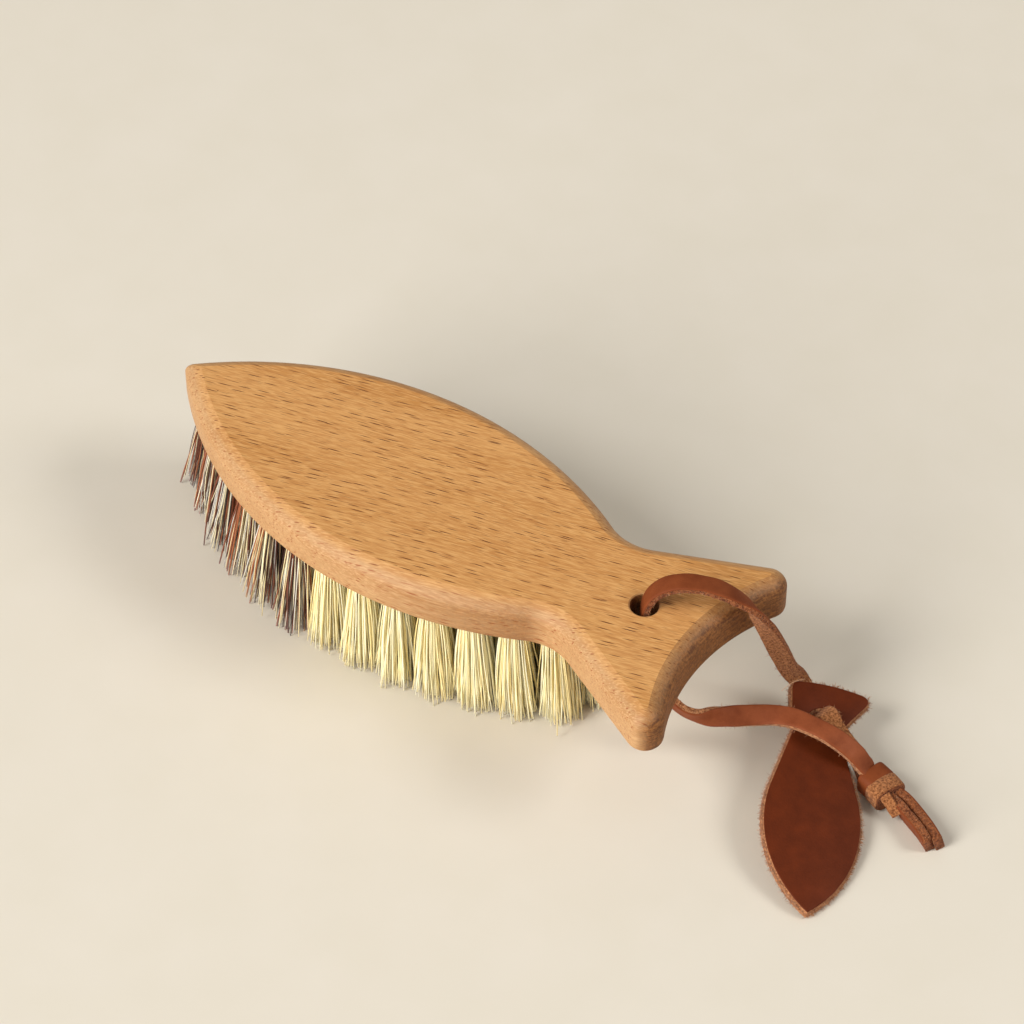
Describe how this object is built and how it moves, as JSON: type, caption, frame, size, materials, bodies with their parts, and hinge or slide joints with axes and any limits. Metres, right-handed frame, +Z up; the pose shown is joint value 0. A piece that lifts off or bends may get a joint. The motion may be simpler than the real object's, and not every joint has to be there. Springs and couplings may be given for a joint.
{
  "type": "vegetable brush",
  "caption": "Fish-shaped wooden vegetable brush with wired tufts of dark and pale plant fibre, a hanging hole, a knotted flat leather lace and a small fish-shaped leather tag.",
  "frame": {"origin": "centre of the wood and bristles' box in X and Y, at the plane of the bristle tips", "axes": "+X from the nose to the tail along the brush, +Z up from the bristle tips to the wooden back"},
  "size_m": [0.1809, 0.0494, 0.041],
  "materials": {
    "beech": "lightly oiled, satin",
    "dark_fibre": "coarse dark and pale plant fibre, mixed",
    "cream_fibre": "fine pale plant fibre",
    "wire": "drawn flat wire",
    "lace_leather": "smooth on one side, suede on the other",
    "tag_leather": "smooth, with suede cut edges"
  },
  "bodies": {
    "brush": {"wooden_block": "beech", "anchor_wires": "wire", "tuft_01": "dark_fibre", "tuft_02": "dark_fibre", "tuft_03": "dark_fibre", "tuft_04": "dark_fibre", "tuft_05": "dark_fibre", "tuft_06": "dark_fibre", "tuft_07": "dark_fibre", "tuft_08": "dark_fibre", "tuft_09": "dark_fibre", "tuft_10": "dark_fibre", "tuft_11": "dark_fibre", "tuft_12": "cream_fibre", "tuft_13": "cream_fibre", "tuft_14": "cream_fibre", "tuft_15": "cream_fibre", "tuft_16": "cream_fibre", "tuft_17": "cream_fibre", "tuft_18": "cream_fibre", "tuft_19": "cream_fibre", "tuft_20": "cream_fibre", "tuft_21": "cream_fibre", "tuft_22": "cream_fibre", "tuft_23": "cream_fibre", "tuft_24": "cream_fibre", "tuft_25": "cream_fibre", "tuft_26": "cream_fibre", "tuft_27": "dark_fibre", "tuft_28": "dark_fibre", "tuft_29": "dark_fibre", "tuft_30": "dark_fibre", "tuft_31": "dark_fibre", "tuft_32": "dark_fibre", "tuft_33": "dark_fibre", "tuft_34": "cream_fibre", "tuft_35": "cream_fibre", "tuft_36": "cream_fibre", "tuft_37": "cream_fibre", "tuft_38": "cream_fibre", "tuft_39": "cream_fibre", "tuft_40": "cream_fibre", "tuft_41": "cream_fibre", "tuft_42": "cream_fibre", "tuft_43": "cream_fibre", "tuft_44": "cream_fibre", "tuft_45": "dark_fibre", "tuft_46": "dark_fibre", "tuft_47": "cream_fibre", "tuft_48": "cream_fibre", "tuft_49": "cream_fibre", "tuft_50": "cream_fibre"},
    "loop": {"strap_over": "lace_leather", "strap_under": "lace_leather", "strap_knot": "lace_leather", "strap_ends": "lace_leather", "leather_tag": "tag_leather"}
  },
  "joints": [
    {"name": "loop_swivel", "type": "hinge", "parent": "brush", "child": "loop", "pos_m": [0.04825, 0, 0.0292], "axis": [0, 0, 1], "range_deg": [-60, 2.5]}
  ]
}
